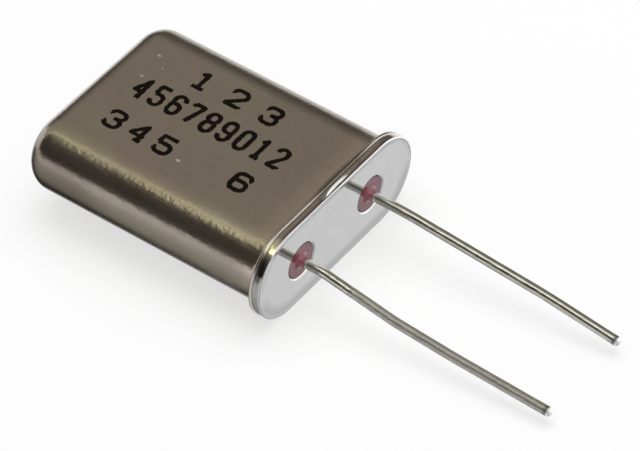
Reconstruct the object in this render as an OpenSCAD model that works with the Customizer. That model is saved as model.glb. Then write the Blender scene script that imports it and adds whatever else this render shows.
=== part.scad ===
// Through-hole quartz crystal unit in an obround metal can, lying on its broad side.
// Origin at the centre of the base's seating face. +X runs out of the base along the leads,
// +Y from the left lead to the right lead as seen facing the base, and +Z out of the broad face.
// All sizes are in millimetres and all angles in degrees.

/* [Can] */
// Width of the can, across its rounded sides
can_w = 10.04; // [9.9:0.01:10.3]
// Depth of the can, between its broad faces
can_d = 3.65; // [3.55:0.01:3.8]
// Height of the can's closed end above the seating face
can_h = 13.05; // [12.6:0.05:13.45]
// Thickness of the drawn wall
can_wall = 0.25; // [0.2:0.01:0.3]
// Outer radius round the closed end
can_end_radius = 1.1; // [0.7:0.05:1.4]
// Thickness of the weld flange at the can's mouth
can_flange_t = 0.2; // [0.15:0.01:0.25]
// Concave radius between the wall and the weld flange
neck_radius = 0.22; // [0.12:0.01:0.28]
// Convex radius inside the can's mouth
mouth_radius = 0.18; // [0.1:0.01:0.2]

/* [Base] */
// How far the flange stands out round the can
flange_over = 0.42; // [0.38:0.01:0.48]
// Thickness of the base's rim
rim_t = 0.38; // [0.32:0.01:0.45]
// Height of the raised middle that stands inside the can
plug_h = 0.75; // [0.6:0.05:0.9]
// Clearance between the raised middle and the can's wall
plug_gap = 0.05; // [0.03:0.01:0.1]
// Radius round the raised middle's inner edge
plug_radius = 0.12; // [0.05:0.01:0.2]
// Radius round the seating face
rim_radius = 0.15; // [0.08:0.01:0.2]
// Radius on the rim's three other edges, which leaves the seam as a groove
seam_radius = 0.05; // [0.03:0.01:0.07]

/* [Glass seals] */
// Distance between the axes of the two leads
lead_pitch = 4.88; // [4.7:0.02:5]
// Diameter of each glass seal
seal_d = 1.7; // [1.5:0.05:1.9]
// Depth of the glass below the seating face
seal_recess = 0.03; // [0.01:0.01:0.08]
// Radius on the mouth of each seal's hole
lip_radius = 0.07; // [0.03:0.01:0.1]
// Radius of the glass fillet that climbs each lead
meniscus_radius = 0.26; // [0.1:0.01:0.35]

/* [Leads] */
// Diameter of the tinned wire
lead_d = 0.45; // [0.4:0.01:0.5]
// Length of wire inside the can, between the base and the spring
lead_inside = 0.9; // [0.7:0.05:1.2]
// Diameter of the nail head that carries the spring
head_d = 0.85; // [0.7:0.05:1]
// Thickness of the nail head
head_t = 0.15; // [0.1:0.01:0.2]
// Rounding of the cut tip
tip_radius = 0.08; // [0.03:0.01:0.12]
// Straight root of the left lead, from the seating face
left_root = 0.8; // [0.6:0.05:1.5]
// Downward turn of the left lead after its root
left_turn_angle = 10.2; // [6:0.2:14]
// Straight run between the left lead's two kinks
left_run = 3.45; // [2.5:0.05:4]
// Upward turn of the left lead's second kink
left_return_angle = 5.4; // [3:0.2:7]
// Run from the second kink to the last slight turn
left_mid = 2.45; // [2:0.05:3]
// Last upward turn of the left lead
left_last_angle = 2.1; // [0.5:0.1:3]
// Last straight run of the left lead
left_end = 4.55; // [4:0.05:5]
// Straight root of the right lead, from the seating face
right_root = 1.2; // [0.8:0.05:2]
// Downward turn of the right lead after its root
right_turn_angle = 4.7; // [2:0.1:7]
// Straight run between the right lead's two turns
right_run = 5.9; // [5.5:0.1:7]
// Second downward turn of the right lead
right_last_angle = 3.3; // [1:0.1:5]
// Last straight run of the right lead
right_end = 3.2; // [2.5:0.05:4]
// Radius of the left lead's two kinks, at the wire's axis
kink_radius = 3; // [1.5:0.5:6]
// Radius of the slight turns, at the wire's axis
sway_radius = 18; // [8:1:30]
// How much the wire's radius draws down in a turn
turn_thinning = 0.003; // [0.002:0.001:0.006]

/* [Crystal] */
// Diameter of the quartz blank
blank_d = 8; // [7.6:0.1:8.2]
// Thickness of the quartz blank
blank_t = 0.185; // [0.15:0.005:0.3]
// Gap between the base and the blank's nearest edge
blank_gap = 1.9; // [1.7:0.1:2.3]
// Diameter of each electrode
electrode_d = 4; // [3:0.1:4.6]
// Width of each electrode's tab
tab_w = 1.5; // [1.3:0.1:1.8]
// Thickness of the electrode film
film_t = 0.02; // [0.01:0.005:0.03]

/* [Springs] */
// Thickness of the spring strip
spring_t = 0.12; // [0.08:0.01:0.16]
// Width of the spring strip
spring_w = 1.2; // [1:0.05:1.4]
// Inside bend radius of the spring strip
spring_bend = 0.15; // [0.1:0.01:0.25]
// Depth that the blank's edge enters the strip's slot
grip = 0.2; // [0.15:0.01:0.25]
// Clearance on each face of the blank in the slot
slot_gap = 0.015; // [0.01:0.005:0.03]
// Clearance beyond the blank's edge at each end of the slot
slot_slack = 0.06; // [0.03:0.01:0.1]
// Length of strip beyond the far end of the slot
slot_end = 0.5; // [0.4:0.05:0.8]
// Radius of each dab of conductive adhesive
dab_radius = 0.44; // [0.35:0.01:0.47]

/* [Marking] */
// Thickness of the ink
ink_t = 0.02; // [0.01:0.005:0.03]
// Width of the ink's strokes
ink_stroke = 0.19; // [0.12:0.01:0.22]
// Height of the numerals in the first and third lines
numeral_h = 1.16; // [1.04:0.02:1.2]
// Width of the numerals in the first and third lines
numeral_w = 0.9; // [0.7:0.02:1]
// Height of the numerals in the middle line
middle_h = 1.34; // [1.2:0.02:1.4]
// Width of the numerals in the middle line
middle_w = 0.68; // [0.6:0.02:0.74]
// Height above the seating face of the first line's first numeral
first_line_h = 8.74; // [8:0.02:9.4]
// Foot of the first line, from the can's middle
first_line_y = 1.68; // [1.5:0.02:1.8]
// Step between the numerals of the first line
first_line_step = 1.82; // [1.2:0.02:2]
// Height above the seating face of the middle line's first numeral
middle_line_h = 10.6; // [10:0.02:10.9]
// Foot of the middle line, from the can's middle
middle_line_y = -0.28; // [-0.4:0.02:0]
// Step between the numerals of the middle line
middle_line_step = 0.91; // [0.86:0.01:0.95]
// Height above the seating face of the last line's first numeral
last_line_h = 10.35; // [10:0.02:10.7]
// Foot of the last line, from the can's middle
last_line_y = -2.42; // [-2.6:0.02:-2.2]
// Step between the numerals of the last line
last_line_step = 1.34; // [1.1:0.02:1.6]
// Height above the seating face of the lone numeral
lone_h = 3.75; // [3:0.02:4.5]
// Foot of the lone numeral, from the can's middle
lone_y = -2.28; // [-2.6:0.02:-2]

/* [Hidden] */
$fn = 72;
can_r = can_d / 2;
can_straight = (can_w - can_d) / 2;
flange_r = can_r + flange_over;
flange_top = rim_t + can_flange_t;
base_t = rim_t + plug_h;
plug_r = can_r - can_wall - plug_gap;
lead_r = lead_d / 2;
seal_r = seal_d / 2;
head_h = base_t + lead_inside;
blank_r = blank_d / 2;
blank_h = base_t + blank_gap + blank_r;
strip_y = blank_r - grip;
slot_half = sqrt(blank_r * blank_r - strip_y * strip_y) + slot_slack;
strip_h = blank_h + slot_half + slot_end;
bend_h = head_h + spring_t + spring_bend;
tab_z = blank_t / 2 + film_t;
// How far the wire's straights reach into its turns, and a cut runs past the face it opens
lap = 0.02;
past = 1;
ink_fn = 24;
LEFT = -1;
RIGHT = 1;
// Steps of each lead after its root: turn, radius of the turn, straight run. Down is positive.
LEFT_STEPS = [
    [left_turn_angle, kink_radius, left_run],
    [-left_return_angle, kink_radius, left_mid],
    [-left_last_angle, sway_radius, left_end],
];
RIGHT_STEPS = [
    [right_turn_angle, sway_radius, right_run],
    [right_last_angle, sway_radius, right_end],
];
// Lines of the marking: where it starts, its foot, its step, height and width, and its numerals
LINES = [
    [first_line_h, first_line_y, first_line_step, numeral_h, numeral_w, [1, 2, 3]],
    [middle_line_h, middle_line_y, middle_line_step, middle_h, middle_w, [4, 5, 6, 7, 8, 9, 0, 1, 2]],
    [last_line_h, last_line_y, last_line_step, numeral_h, numeral_w, [3, 4, 5]],
    [lone_h, lone_y, last_line_step, numeral_h, numeral_w, [6]],
];
// Strokes of each numeral, as paths on a grid one wide and two high, with round corners where
// two straight strokes meet square
NUMERALS = [
    [[[0, 1], [0, 2], [1, 2], [1, 0], [0, 0], [0, 1]]],
    [[[0.1, 1.6], [0.5, 2], [0.5, 0]], [[0.1, 0], [0.9, 0]]],
    [[[0, 1.55], [0, 2], [1, 2], [1, 1.3], [0, 0], [1, 0]], [[1, 0], [1, 0.2]]],
    [[[0, 1.55], [0, 2], [1, 2], [1, 1.05], [0.4, 1.05], [1, 1.05], [1, 0], [0, 0], [0, 0.45]]],
    [[[0.75, 0], [0.75, 2], [0, 0.6], [1, 0.6]], [[0.5, 0], [1, 0]]],
    [[[1, 2], [0.04, 2], [0, 1.15]], [[0, 1.15], [1, 1.15], [1, 0], [0, 0], [0, 0.45]]],
    [[[1, 1.55], [1, 2], [0, 2], [0, 0], [1, 0], [1, 1.1], [0, 1.1]]],
    [[[0, 1.7], [0, 2]], [[0, 2], [1, 2], [0.35, 0]]],
    [[[0.5, 1.05], [0, 1.05], [0, 2], [1, 2], [1, 1.05], [0, 1.05], [0, 0], [1, 0], [1, 1.05]]],
    [[[0, 0.45], [0, 0], [1, 0], [1, 2], [0, 2], [0, 0.9], [1, 0.9]]],
];

// Turns a piece drawn with its height along +Z so that the height runs into the can, along -X
module into_can() {
    rotate([0, -90, 0]) children();
}

// Places its children on one lead's axis
module on_lead(side) {
    translate([0, side * lead_pitch / 2, 0]) children();
}

// Carries half a section round an obround: out from the axis is X, height above the seating
// face is Y, and straight is half the distance between the two round ends
module obround(straight) {
    into_can() {
        for (side = [LEFT, RIGHT])
            translate([0, side * straight, 0])
                rotate([0, 0, side == RIGHT ? 0 : 180])
                    rotate_extrude(angle = 180) children();
        rotate([90, 0, 0])
            linear_extrude(height = 2 * straight, center = true) {
                children();
                mirror([1, 0]) children();
            }
    }
}

// The sliver between a square corner at the origin, open towards sx and sy, and a radius in it
module corner(radius, sx, sy) {
    if (radius > 0)
        difference() {
            translate([sx * radius / 2, sy * radius / 2]) square(radius, center = true);
            translate([sx * radius, sy * radius]) circle(radius);
        }
}

// Half a section of a slab from the axis out to r, with its outer corners rounded
module slab(r, low, high, low_radius, high_radius) {
    difference() {
        translate([0, low]) square([r, high - low]);
        translate([r, low]) corner(low_radius, -1, 1);
        translate([r, high]) corner(high_radius, -1, -1);
    }
}

module can() {
    color([0.46, 0.43, 0.38])
        obround(can_straight)
            difference() {
                union() {
                    slab(can_r, flange_top, can_h, 0, can_end_radius);
                    slab(flange_r, rim_t, flange_top, seam_radius, seam_radius);
                    translate([can_r, flange_top]) corner(neck_radius, 1, 1);
                }
                slab(can_r - can_wall, 0, can_h - can_wall, 0, can_end_radius - can_wall);
                translate([can_r - can_wall, rim_t]) corner(mouth_radius, 1, 1);
            }
}

module base_plate() {
    color([0.78, 0.78, 0.78])
        difference() {
            obround(can_straight) {
                slab(flange_r, 0, rim_t, rim_radius, seam_radius);
                slab(plug_r, rim_t, base_t, 0, plug_radius);
            }
            seal_holes();
        }
}

// The two holes for the glass, with a rounded mouth on the seating face
module seal_holes() {
    for (side = [LEFT, RIGHT])
        on_lead(side)
            into_can() {
                translate([0, 0, -past]) cylinder(r = seal_r, h = base_t + 2 * past);
                rotate_extrude() translate([seal_r, 0]) corner(lip_radius, 1, 1);
            }
}

module glass_seal(side) {
    color([0.5, 0.3, 0.35])
        on_lead(side)
            into_can()
                rotate_extrude() {
                    translate([lead_r, seal_recess])
                        square([seal_r - lead_r, base_t - seal_recess]);
                    translate([lead_r, seal_recess]) corner(meniscus_radius, 1, -1);
                }
}

// A length of straight wire that carries on with its children, or ends in a rounded tip. It
// reaches into the turns at its ends, where the wire is a little thinner.
module straight(length, before = lap) {
    translate([0, 0, -before])
        if ($children > 0)
            cylinder(r = lead_r, h = before + length + lap);
        else
            rotate_extrude() slab(lead_r, 0, before + length, 0, tip_radius);
    translate([0, 0, length]) children();
}

// A turn in the wire towards local +X, or -X where it is negative, carrying its children on
module bend(turn, radius) {
    way = turn < 0 ? -1 : 1;
    translate([way * radius, 0, 0])
        rotate([90, 0, way > 0 ? 180 : 0])
            mirror([0, 0, way > 0 ? 0 : 1])
                rotate_extrude(angle = abs(turn))
                    translate([radius, 0]) circle(lead_r - turn_thinning);
    translate([way * radius * (1 - cos(turn)), 0, radius * sin(abs(turn))])
        rotate([0, turn, 0]) children();
}

// The wire's steps one after another
module wire(steps, i = 0) {
    bend(steps[i][0], steps[i][1]) {
        if (i < len(steps) - 1)
            straight(steps[i][2]) wire(steps, i + 1);
        else
            straight(steps[i][2]);
    }
}

module lead(side, root, steps) {
    color([0.72, 0.71, 0.64])
        on_lead(side)
            translate([-head_h, 0, 0])
                rotate([0, 90, 0]) {
                    cylinder(r = head_d / 2, h = head_t);
                    straight(head_h + root, 0) wire(steps);
                }
}

// A strip that is welded flat to the nail head, turns along the can's side and holds the
// blank's edge in a slot
module mounting_spring(side) {
    color([0.75, 0.72, 0.62])
        mirror([0, side == LEFT ? 1 : 0, 0])
            difference() {
                union() {
                    on_lead(RIGHT)
                        into_can()
                            translate([0, 0, head_h]) cylinder(d = spring_w, h = spring_t);
                    translate([-head_h - spring_t, lead_pitch / 2, -spring_w / 2])
                        cube([spring_t, strip_y - spring_bend - lead_pitch / 2, spring_w]);
                    translate([-bend_h, strip_y - spring_bend, 0])
                        rotate_extrude(angle = 90)
                            translate([spring_bend, -spring_w / 2]) square([spring_t, spring_w]);
                    translate([-strip_h, strip_y, -spring_w / 2])
                        cube([strip_h - bend_h, spring_t, spring_w]);
                }
                translate([-blank_h, strip_y + spring_t / 2, 0])
                    cube([2 * slot_half, 2 * spring_t, blank_t + 2 * slot_gap], center = true);
            }
}

module quartz_blank() {
    color([0.85, 0.88, 0.9, 0.6])
        translate([-blank_h, 0, 0]) cylinder(r = blank_r, h = blank_t, center = true);
}

// A film on one face of the blank, with its tab running to the spring on that side
module electrode(side) {
    color([0.85, 0.85, 0.84])
        translate([-blank_h, 0, side * (tab_z - film_t / 2)]) {
            cylinder(d = electrode_d, h = film_t, center = true);
            translate([0, side * (strip_y - slot_gap) / 2, 0])
                cube([tab_w, strip_y - slot_gap, film_t], center = true);
        }
}

// A quarter ball in the angle between the electrode's tab and the strip
module adhesive(side) {
    color([0.6, 0.6, 0.6])
        intersection() {
            translate([-blank_h, side * strip_y, side * tab_z]) sphere(dab_radius);
            translate([-blank_h, side * (strip_y - dab_radius), side * (tab_z + dab_radius)])
                cube(2 * dab_radius, center = true);
        }
}

// One bar of ink with round ends
module bar(from, to) {
    run = to - from;
    translate([from.x, from.y, 0]) {
        cylinder(d = ink_stroke, h = ink_t);
        translate(run) cylinder(d = ink_stroke, h = ink_t);
        if (norm(run) > ink_t)
            rotate([0, 0, atan2(run.y, run.x)])
                translate([0, -ink_stroke / 2, 0]) cube([norm(run), ink_stroke, ink_t]);
    }
}

// A quarter turn of ink that starts at an angle about its centre
module quarter(centre, radius, start) {
    translate([centre.x, centre.y, 0])
        rotate([0, 0, start])
            rotate_extrude(angle = 90)
                translate([radius - ink_stroke / 2, 0]) square([ink_stroke, ink_t]);
}

function unit(v) = v / norm(v);
function is_square(path, i) =
    i > 0 && i < len(path) - 1 && (path[i - 1] - path[i]) * (path[i + 1] - path[i]) == 0;

// A path of bars, with every square corner rounded to the radius
module path_of_ink(path, radius) {
    for (i = [0:len(path) - 2]) {
        ahead = unit(path[i + 1] - path[i]);
        bar(
            path[i] + (is_square(path, i) ? radius : 0) * ahead,
            path[i + 1] - (is_square(path, i + 1) ? radius : 0) * ahead
        );
        if (is_square(path, i)) {
            back = unit(path[i - 1] - path[i]);
            turn = back.x * ahead.y - back.y * ahead.x;
            open = turn > 0 ? -back : -ahead;
            quarter(path[i] + radius * (ahead + back), radius, atan2(open.y, open.x));
        }
    }
}

// One numeral, with the middle of its foot at the origin
module numeral(value, height, width) {
    column = width - ink_stroke;
    row = (height - ink_stroke) / 2;
    for (path = NUMERALS[value])
        path_of_ink(
            [for (p = path) [(p.x - 0.5) * column, ink_stroke / 2 + p.y * row]],
            min(column, row) / 2
        );
}

module ink_marking() {
    color([0.08, 0.06, 0.05])
        translate([0, 0, can_r])
            for (line = LINES)
                for (i = [0:len(line[5]) - 1])
                    translate([i * line[2] - line[0], line[1], 0])
                        numeral(line[5][i], line[3], line[4], $fn = ink_fn);
}

can();
base_plate();
glass_seal(LEFT);  // glass_seal_left
glass_seal(RIGHT);  // glass_seal_right
lead(LEFT, left_root, LEFT_STEPS);  // lead_left
lead(RIGHT, right_root, RIGHT_STEPS);  // lead_right
mounting_spring(LEFT);  // mounting_spring_left
mounting_spring(RIGHT);  // mounting_spring_right
quartz_blank();
electrode(RIGHT);  // electrode_top
electrode(LEFT);  // electrode_bottom
adhesive(LEFT);  // adhesive_left
adhesive(RIGHT);  // adhesive_right
ink_marking();
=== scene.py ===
# Quartz crystal unit in a drawn metal can, lying on its broad side, built up round its CAD frame.
# +X runs out of the base along the leads, +Z out of the broad face that carries the marking.
import math

import bmesh
import bpy
from mathutils import Euler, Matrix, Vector


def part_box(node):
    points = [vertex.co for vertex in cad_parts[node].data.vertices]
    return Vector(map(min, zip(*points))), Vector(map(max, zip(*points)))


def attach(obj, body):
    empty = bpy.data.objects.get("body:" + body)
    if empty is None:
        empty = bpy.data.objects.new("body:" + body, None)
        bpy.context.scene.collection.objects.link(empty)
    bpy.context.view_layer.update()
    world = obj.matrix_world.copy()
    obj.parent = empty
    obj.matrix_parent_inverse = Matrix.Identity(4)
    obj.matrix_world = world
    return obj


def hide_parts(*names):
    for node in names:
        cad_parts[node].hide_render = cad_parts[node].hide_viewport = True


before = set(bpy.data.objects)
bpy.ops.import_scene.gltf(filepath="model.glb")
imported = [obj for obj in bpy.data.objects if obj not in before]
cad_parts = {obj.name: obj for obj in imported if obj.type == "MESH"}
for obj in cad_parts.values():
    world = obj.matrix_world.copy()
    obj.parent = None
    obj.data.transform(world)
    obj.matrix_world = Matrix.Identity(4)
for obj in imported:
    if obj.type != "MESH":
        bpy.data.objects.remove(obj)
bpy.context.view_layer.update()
mm = 0.001

# ---------------------------------------------------------------------------------------------
# Base plate: a steel stamping, nickel plated and left mirror bright. Its raised middle locates
# the can, and its rim is the outer half of the weld. The rim has taken two knocks since.
base_low, base_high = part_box("base_plate")
seal_low, seal_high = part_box("glass_seal_right")
flange_r = (base_high.z - base_low.z) / 2
straight_half = (base_high.y - base_low.y) / 2 - flange_r
base_t = base_high.x - base_low.x
seal_r = (seal_high.y - seal_low.y) / 2
seal_y = (seal_high.y + seal_low.y) / 2
rim_t = 0.38 * mm
rim_front = 0.045 * mm
rim_crown = 0.2 * mm
rim_bevel = 0.08 * mm
rim_back = 0.08 * mm
crest = flange_r - rim_crown
plug_r = 1.525 * mm
plug_edge = 0.12 * mm
lip = 0.1 * mm
face_sunk = 0.02 * mm
# Painted shade on the face begins and is thickest this far out from the line between the round ends
painted_shade_from = 1.45 * mm
painted_shade_full = 1.95 * mm
# Rings this close hold a smooth surface flat up to an edge, and edges past the crease stay hard
hairline = 0.01 * mm
crease = math.radians(40)


def arc(centre, radius, start, end, steps=8):
    """Points of a section along an arc, as distance out from the axis and height into the can."""
    turns = [math.radians(start + (end - start) * i / steps) for i in range(steps + 1)]
    return [(centre[0] + radius * math.cos(a), centre[1] + radius * math.sin(a)) for a in turns]


def obround(out, height, steps=56, gaps=90):
    """A ring round the plate, out from the line between its two round ends."""
    ring = []
    for side, start in ((1, -90), (-1, 90)):
        for y, z in arc((side * straight_half, 0), out, start, start + 180, steps):
            ring.append((-height, y, z))
        for i in range(1, gaps):
            ring.append((-height, side * straight_half * (1 - 2 * i / gaps), side * out))
    return ring


def hole_ring(out, height, y, steps=64):
    """A ring round one lead's axis."""
    return [(-height, py, pz) for py, pz in arc((y, 0), out, 0, 360, steps)[:-1]]


def skin(mesh, rings):
    """Faces between rings of points, one after another. Gives the rings' vertices back."""
    rows = [[mesh.verts.new(p) for p in ring] for ring in rings]
    for low, high in zip(rows, rows[1:]):
        for i in range(len(low)):
            j = (i + 1) % len(low)
            mesh.faces.new((low[i], low[j], high[j], high[i]))
    return rows


def flat_between(mesh, loops):
    """A flat face with holes, between closed loops of vertices."""
    edges = []
    for loop in loops:
        for a, b in zip(loop, loop[1:] + loop[:1]):
            edges.append(mesh.edges.get((a, b)))
    bmesh.ops.triangle_fill(mesh, use_beauty=True, use_dissolve=False, edges=edges)


def finished(mesh, name):
    """A smooth object from a bmesh, with its normals outward and its hard edges kept."""
    bmesh.ops.recalc_face_normals(mesh, faces=mesh.faces)
    data = bpy.data.meshes.new(name)
    mesh.to_mesh(data)
    mesh.free()
    data.shade_smooth()
    data.set_sharp_from_angle(angle=crease)
    piece = bpy.data.objects.new(name, data)
    bpy.context.scene.collection.objects.link(piece)
    return piece


# Knocks on the rim's upper edge, in millimetres: y where each starts and ends, x of its deepest
# line at those two places, how deep it is and how far its slope runs back. In front it ends in a
# steep wall, and where it is deep enough the weld's stain is knocked off
KNOCKS = [(-0.9, 1.3, -0.1, -0.18, 0.13, 0.28), (1.85, 2.3, -0.14, -0.24, 0.05, 0.14)]
knock_wall = 0.03
knock_bare = 0.06


def knock_depth(x, y):
    """How far the rim's upper edge is pressed in at a place, all in millimetres."""
    deepest = 0
    for start, end, x_start, x_end, depth, slope in KNOCKS:
        along = (y - start) / (end - start)
        if 0 < along < 1:
            back = x_start + (x_end - x_start) * along - x
            share = max(0, 1 - back / slope if back > 0 else 1 + back / knock_wall)
            deepest = max(deepest, depth * share ** 1.7 * math.sin(math.pi * along) ** 0.6)
    return deepest


def press_knocks(data):
    """Presses the knocks into the vertices of the rim's upper edge, and notes where on the mesh."""
    bare = data.attributes.new("bare", "FLOAT", "POINT")
    for v in data.vertices:
        if v.co.z > crest and v.co.x > -2 * rim_t:
            depth = knock_depth(v.co.x / mm, v.co.y / mm)
            v.co.z -= depth * mm
            bare.data[v.index].value = min(1, depth / knock_bare)


plate = bmesh.new()
ease_rings = 6
side_rings = 14
# The face lies a little below the rim's crowned edge, though not at the bottom
section = [(painted_shade_from, face_sunk), (painted_shade_full - rim_bevel, face_sunk)]
section.append((crest - rim_bevel - hairline, face_sunk))
for i in range(ease_rings):
    drop = (1 + math.cos(math.pi * i / ease_rings)) / 2
    section.append((crest - rim_bevel * (1 - i / ease_rings), face_sunk * drop))
for out, height in arc((0, 0), 1, -90, 0, 16):
    section.append((crest + rim_crown * out, rim_front * (1 + height)))
for i in range(1, side_rings):
    section.append((flange_r, rim_front + (rim_t - rim_front - rim_back) * i / side_rings))
section += arc((flange_r - rim_back, rim_t - rim_back), rim_back, 0, 90)
section += [(plug_r, rim_t), (plug_r, base_t - plug_edge)]
section += arc((plug_r - plug_edge, base_t - plug_edge), plug_edge, 0, 90)
rows = skin(plate, [obround(out, height) for out, height in section])
front, back = [rows[0]], [rows[-1]]
for y in (-seal_y, seal_y):
    hole = [(seal_r, base_t)] + arc((seal_r + lip, lip + face_sunk), lip, 180, 270)
    hole += [(seal_r + lip + hairline, face_sunk)]
    hole_rows = skin(plate, [hole_ring(out, height, y) for out, height in hole])
    back.append(hole_rows[0])
    front.append(hole_rows[-1])
flat_between(plate, front)
flat_between(plate, back)
# Sinks the face by its height: fully at the top and not at all at the bottom
for v in plate.verts:
    if v.co.x > -1.1 * face_sunk and math.hypot(max(abs(v.co.y) - straight_half, 0), v.co.z) < crest:
        v.co.x *= (1 + v.co.z / flange_r) / 2
base_plate = finished(plate, "base_plate_stamped")
press_knocks(base_plate.data)
# Painted shade on the face near its rim, darker towards the bottom
painted_shade = base_plate.data.attributes.new("painted_shade", "FLOAT", "POINT")
for v in base_plate.data.vertices:
    out = math.hypot(max(abs(v.co.y) - straight_half, 0), v.co.z)
    share = min((out - painted_shade_from) / (painted_shade_full - painted_shade_from), (flange_r - out) / (flange_r - painted_shade_full))
    if v.co.x > -2 * rim_front and share > 0:
        painted_shade.data[v.index].value = share * min(1, max(0, -v.co.z / seal_r))


def linear(code):
    """An sRGB hex colour as the linear values that a shader takes."""
    parts = [int(code[i:i + 2], 16) / 255 for i in (1, 3, 5)]
    return [c / 12.92 if c <= 0.04045 else ((c + 0.055) / 1.055) ** 2.4 for c in parts] + [1]


def add(tree, kind, inputs={}, give=None, **settings):
    """One node with its settings. An input is a value, or an output to link from another node.
    Gives back one of the node's own outputs: the one named, or the first."""
    node = tree.nodes.new(kind)
    for name, value in settings.items():
        setattr(node, name, value)
    shown = [socket for socket in node.inputs if socket.enabled]
    for name, value in inputs.items():
        socket = shown[name] if isinstance(name, int) else next(s for s in shown if s.name == name)
        if isinstance(value, bpy.types.NodeSocket):
            tree.links.new(value, socket)
        else:
            socket.default_value = value
    return next((s for s in node.outputs if s.enabled and give in (None, s.name)), None)


def new_material(name):
    """An empty material and its node tree."""
    material = bpy.data.materials.new(name)
    material.use_nodes = True
    material.node_tree.nodes.clear()
    return material, material.node_tree


def reach_from(tree, place, at, size, turn=(0, 0, 0)):
    """How far a place is from the middle of an ellipsoid: 1 at its skin."""
    local = add(tree, "ShaderNodeMapping",
                {"Vector": place, "Location": at, "Rotation": turn, "Scale": size}, vector_type="TEXTURE")
    return add(tree, "ShaderNodeVectorMath", {0: local}, give="Value", operation="LENGTH")


def bright_nickel_plate():
    """Nickel plate on polished steel: a near mirror, a little wavy and hazy, with one fine scratch.
    The weld has stained it brown along the rim's top, with a burnt line at the seam. A straw highlight
    and a purple-black reflection are painted at the left shoulder, and painted shade darkens the face
    near its lower edge."""
    material, tree = new_material("bright_nickel_plate")
    place = add(tree, "ShaderNodeTexCoord", give="Object")
    haze = add(tree, "ShaderNodeTexNoise", {"Vector": place, "Scale": 1 / (0.9 * mm), "Detail": 5.0})
    wave = add(tree, "ShaderNodeTexNoise", {"Vector": place, "Scale": 1 / (2.2 * mm), "Detail": 1.0})
    grain = add(tree, "ShaderNodeTexNoise", {"Vector": place, "Scale": 1 / (0.12 * mm), "Detail": 3.0})
    height = add(tree, "ShaderNodeMath", {0: grain, 1: 0.04, 2: wave}, operation="MULTIPLY_ADD")
    scratch = reach_from(tree, place, Vector((0, 4.55, -0.95)) * mm, Vector((1, 0.32, 0.045)) * mm,
                         (math.radians(50), 0, 0))
    scratch = add(tree, "ShaderNodeMapRange",
                  {"Value": scratch, "From Min": 0.5, "From Max": 1.0, "To Min": 0.15, "To Max": 0.0})
    height = add(tree, "ShaderNodeMath", {0: height, 1: scratch}, operation="SUBTRACT")
    bump = add(tree, "ShaderNodeBump", {"Height": height, "Strength": 1.0, "Distance": 0.03 * mm})
    depth = add(tree, "ShaderNodeSeparateXYZ", {"Vector": place}, give="X")
    ragged = add(tree, "ShaderNodeMath", {0: haze, 1: 0.03 * mm, 2: depth}, operation="MULTIPLY_ADD")
    edge = add(tree, "ShaderNodeMapRange",
               {"Value": ragged, "From Min": -0.04 * mm, "From Max": -0.01 * mm,
                "To Min": 1.0, "To Max": 0.0})
    height_up = add(tree, "ShaderNodeSeparateXYZ", {"Vector": place}, give="Z")
    top = add(tree, "ShaderNodeMapRange",
              {"Value": height_up, "From Min": 2.1 * mm, "From Max": 2.22 * mm})
    bare = add(tree, "ShaderNodeAttribute", give="Fac", attribute_name="bare")
    top = add(tree, "ShaderNodeMath", {0: top, 1: bare}, operation="SUBTRACT", use_clamp=True)
    welded = add(tree, "ShaderNodeMath", {0: edge, 1: top}, operation="MULTIPLY")
    rough = add(tree, "ShaderNodeMapRange", {"Value": haze, "To Min": 0.03, "To Max": 0.11})
    rough = add(tree, "ShaderNodeMath", {0: welded, 1: 0.1, 2: rough}, operation="MULTIPLY_ADD")
    tint = add(tree, "ShaderNodeMix", {"Factor": haze, "A": linear("#d3d2d0"), "B": linear("#dcdbda")},
               data_type="RGBA")
    stain = add(tree, "ShaderNodeMix", {"Factor": grain, "A": linear("#8b8180"), "B": linear("#bfb4ab")},
                data_type="RGBA")
    burnt = add(tree, "ShaderNodeMapRange",
                {"Value": ragged, "From Min": -0.2 * mm, "From Max": -0.08 * mm})
    stain = add(tree, "ShaderNodeMix", {"Factor": burnt, "A": stain, "B": linear("#756c6c")},
                data_type="RGBA")
    tint = add(tree, "ShaderNodeMix", {"Factor": welded, "A": tint, "B": stain}, data_type="RGBA")
    # Painted shade near the face's lower edge
    painted_shade = add(tree, "ShaderNodeAttribute", give="Fac", attribute_name="painted_shade")
    painted_shade = add(tree, "ShaderNodeMath", {0: painted_shade, 1: 0.5}, operation="MULTIPLY")
    tint = add(tree, "ShaderNodeMix", {"Factor": painted_shade, "A": tint, "B": linear("#8d9391")}, data_type="RGBA")
    # Painted reflections at the left shoulder, a straw highlight and a purple-black band: each one's
    # place along the rim, its size and its colour
    for y, z, size, colour in ((-4.2, 2.0, 0.45, "#d6d0ba"), (-4.97, 1.3, 0.75, "#564449")):
        painted_reflection = reach_from(tree, place, Vector((-0.28, y, z)) * mm, Vector((0.27, size, size)) * mm)
        painted_reflection = add(tree, "ShaderNodeMapRange",
                   {"Value": painted_reflection, "From Min": 0.55, "From Max": 1.0, "To Min": 0.9, "To Max": 0.0})
        tint = add(tree, "ShaderNodeMix", {"Factor": painted_reflection, "A": tint, "B": linear(colour)}, data_type="RGBA")
    metal = add(tree, "ShaderNodeBsdfPrincipled",
                {"Base Color": tint, "Metallic": 1.0, "Roughness": rough, "Normal": bump})
    add(tree, "ShaderNodeOutputMaterial", {"Surface": metal})
    return material


base_plate.data.materials.append(bright_nickel_plate())
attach(base_plate, "root")
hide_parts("base_plate")

# ---------------------------------------------------------------------------------------------
# Glass seals: beads of maroon sealing glass, fused to the plate and the wires in a furnace. Each
# has sunk a little in its hole and climbs its wire in a small fillet.
lead_r = 0.225 * mm
seal_recess = 0.05 * mm
meniscus = 0.26 * mm


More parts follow.
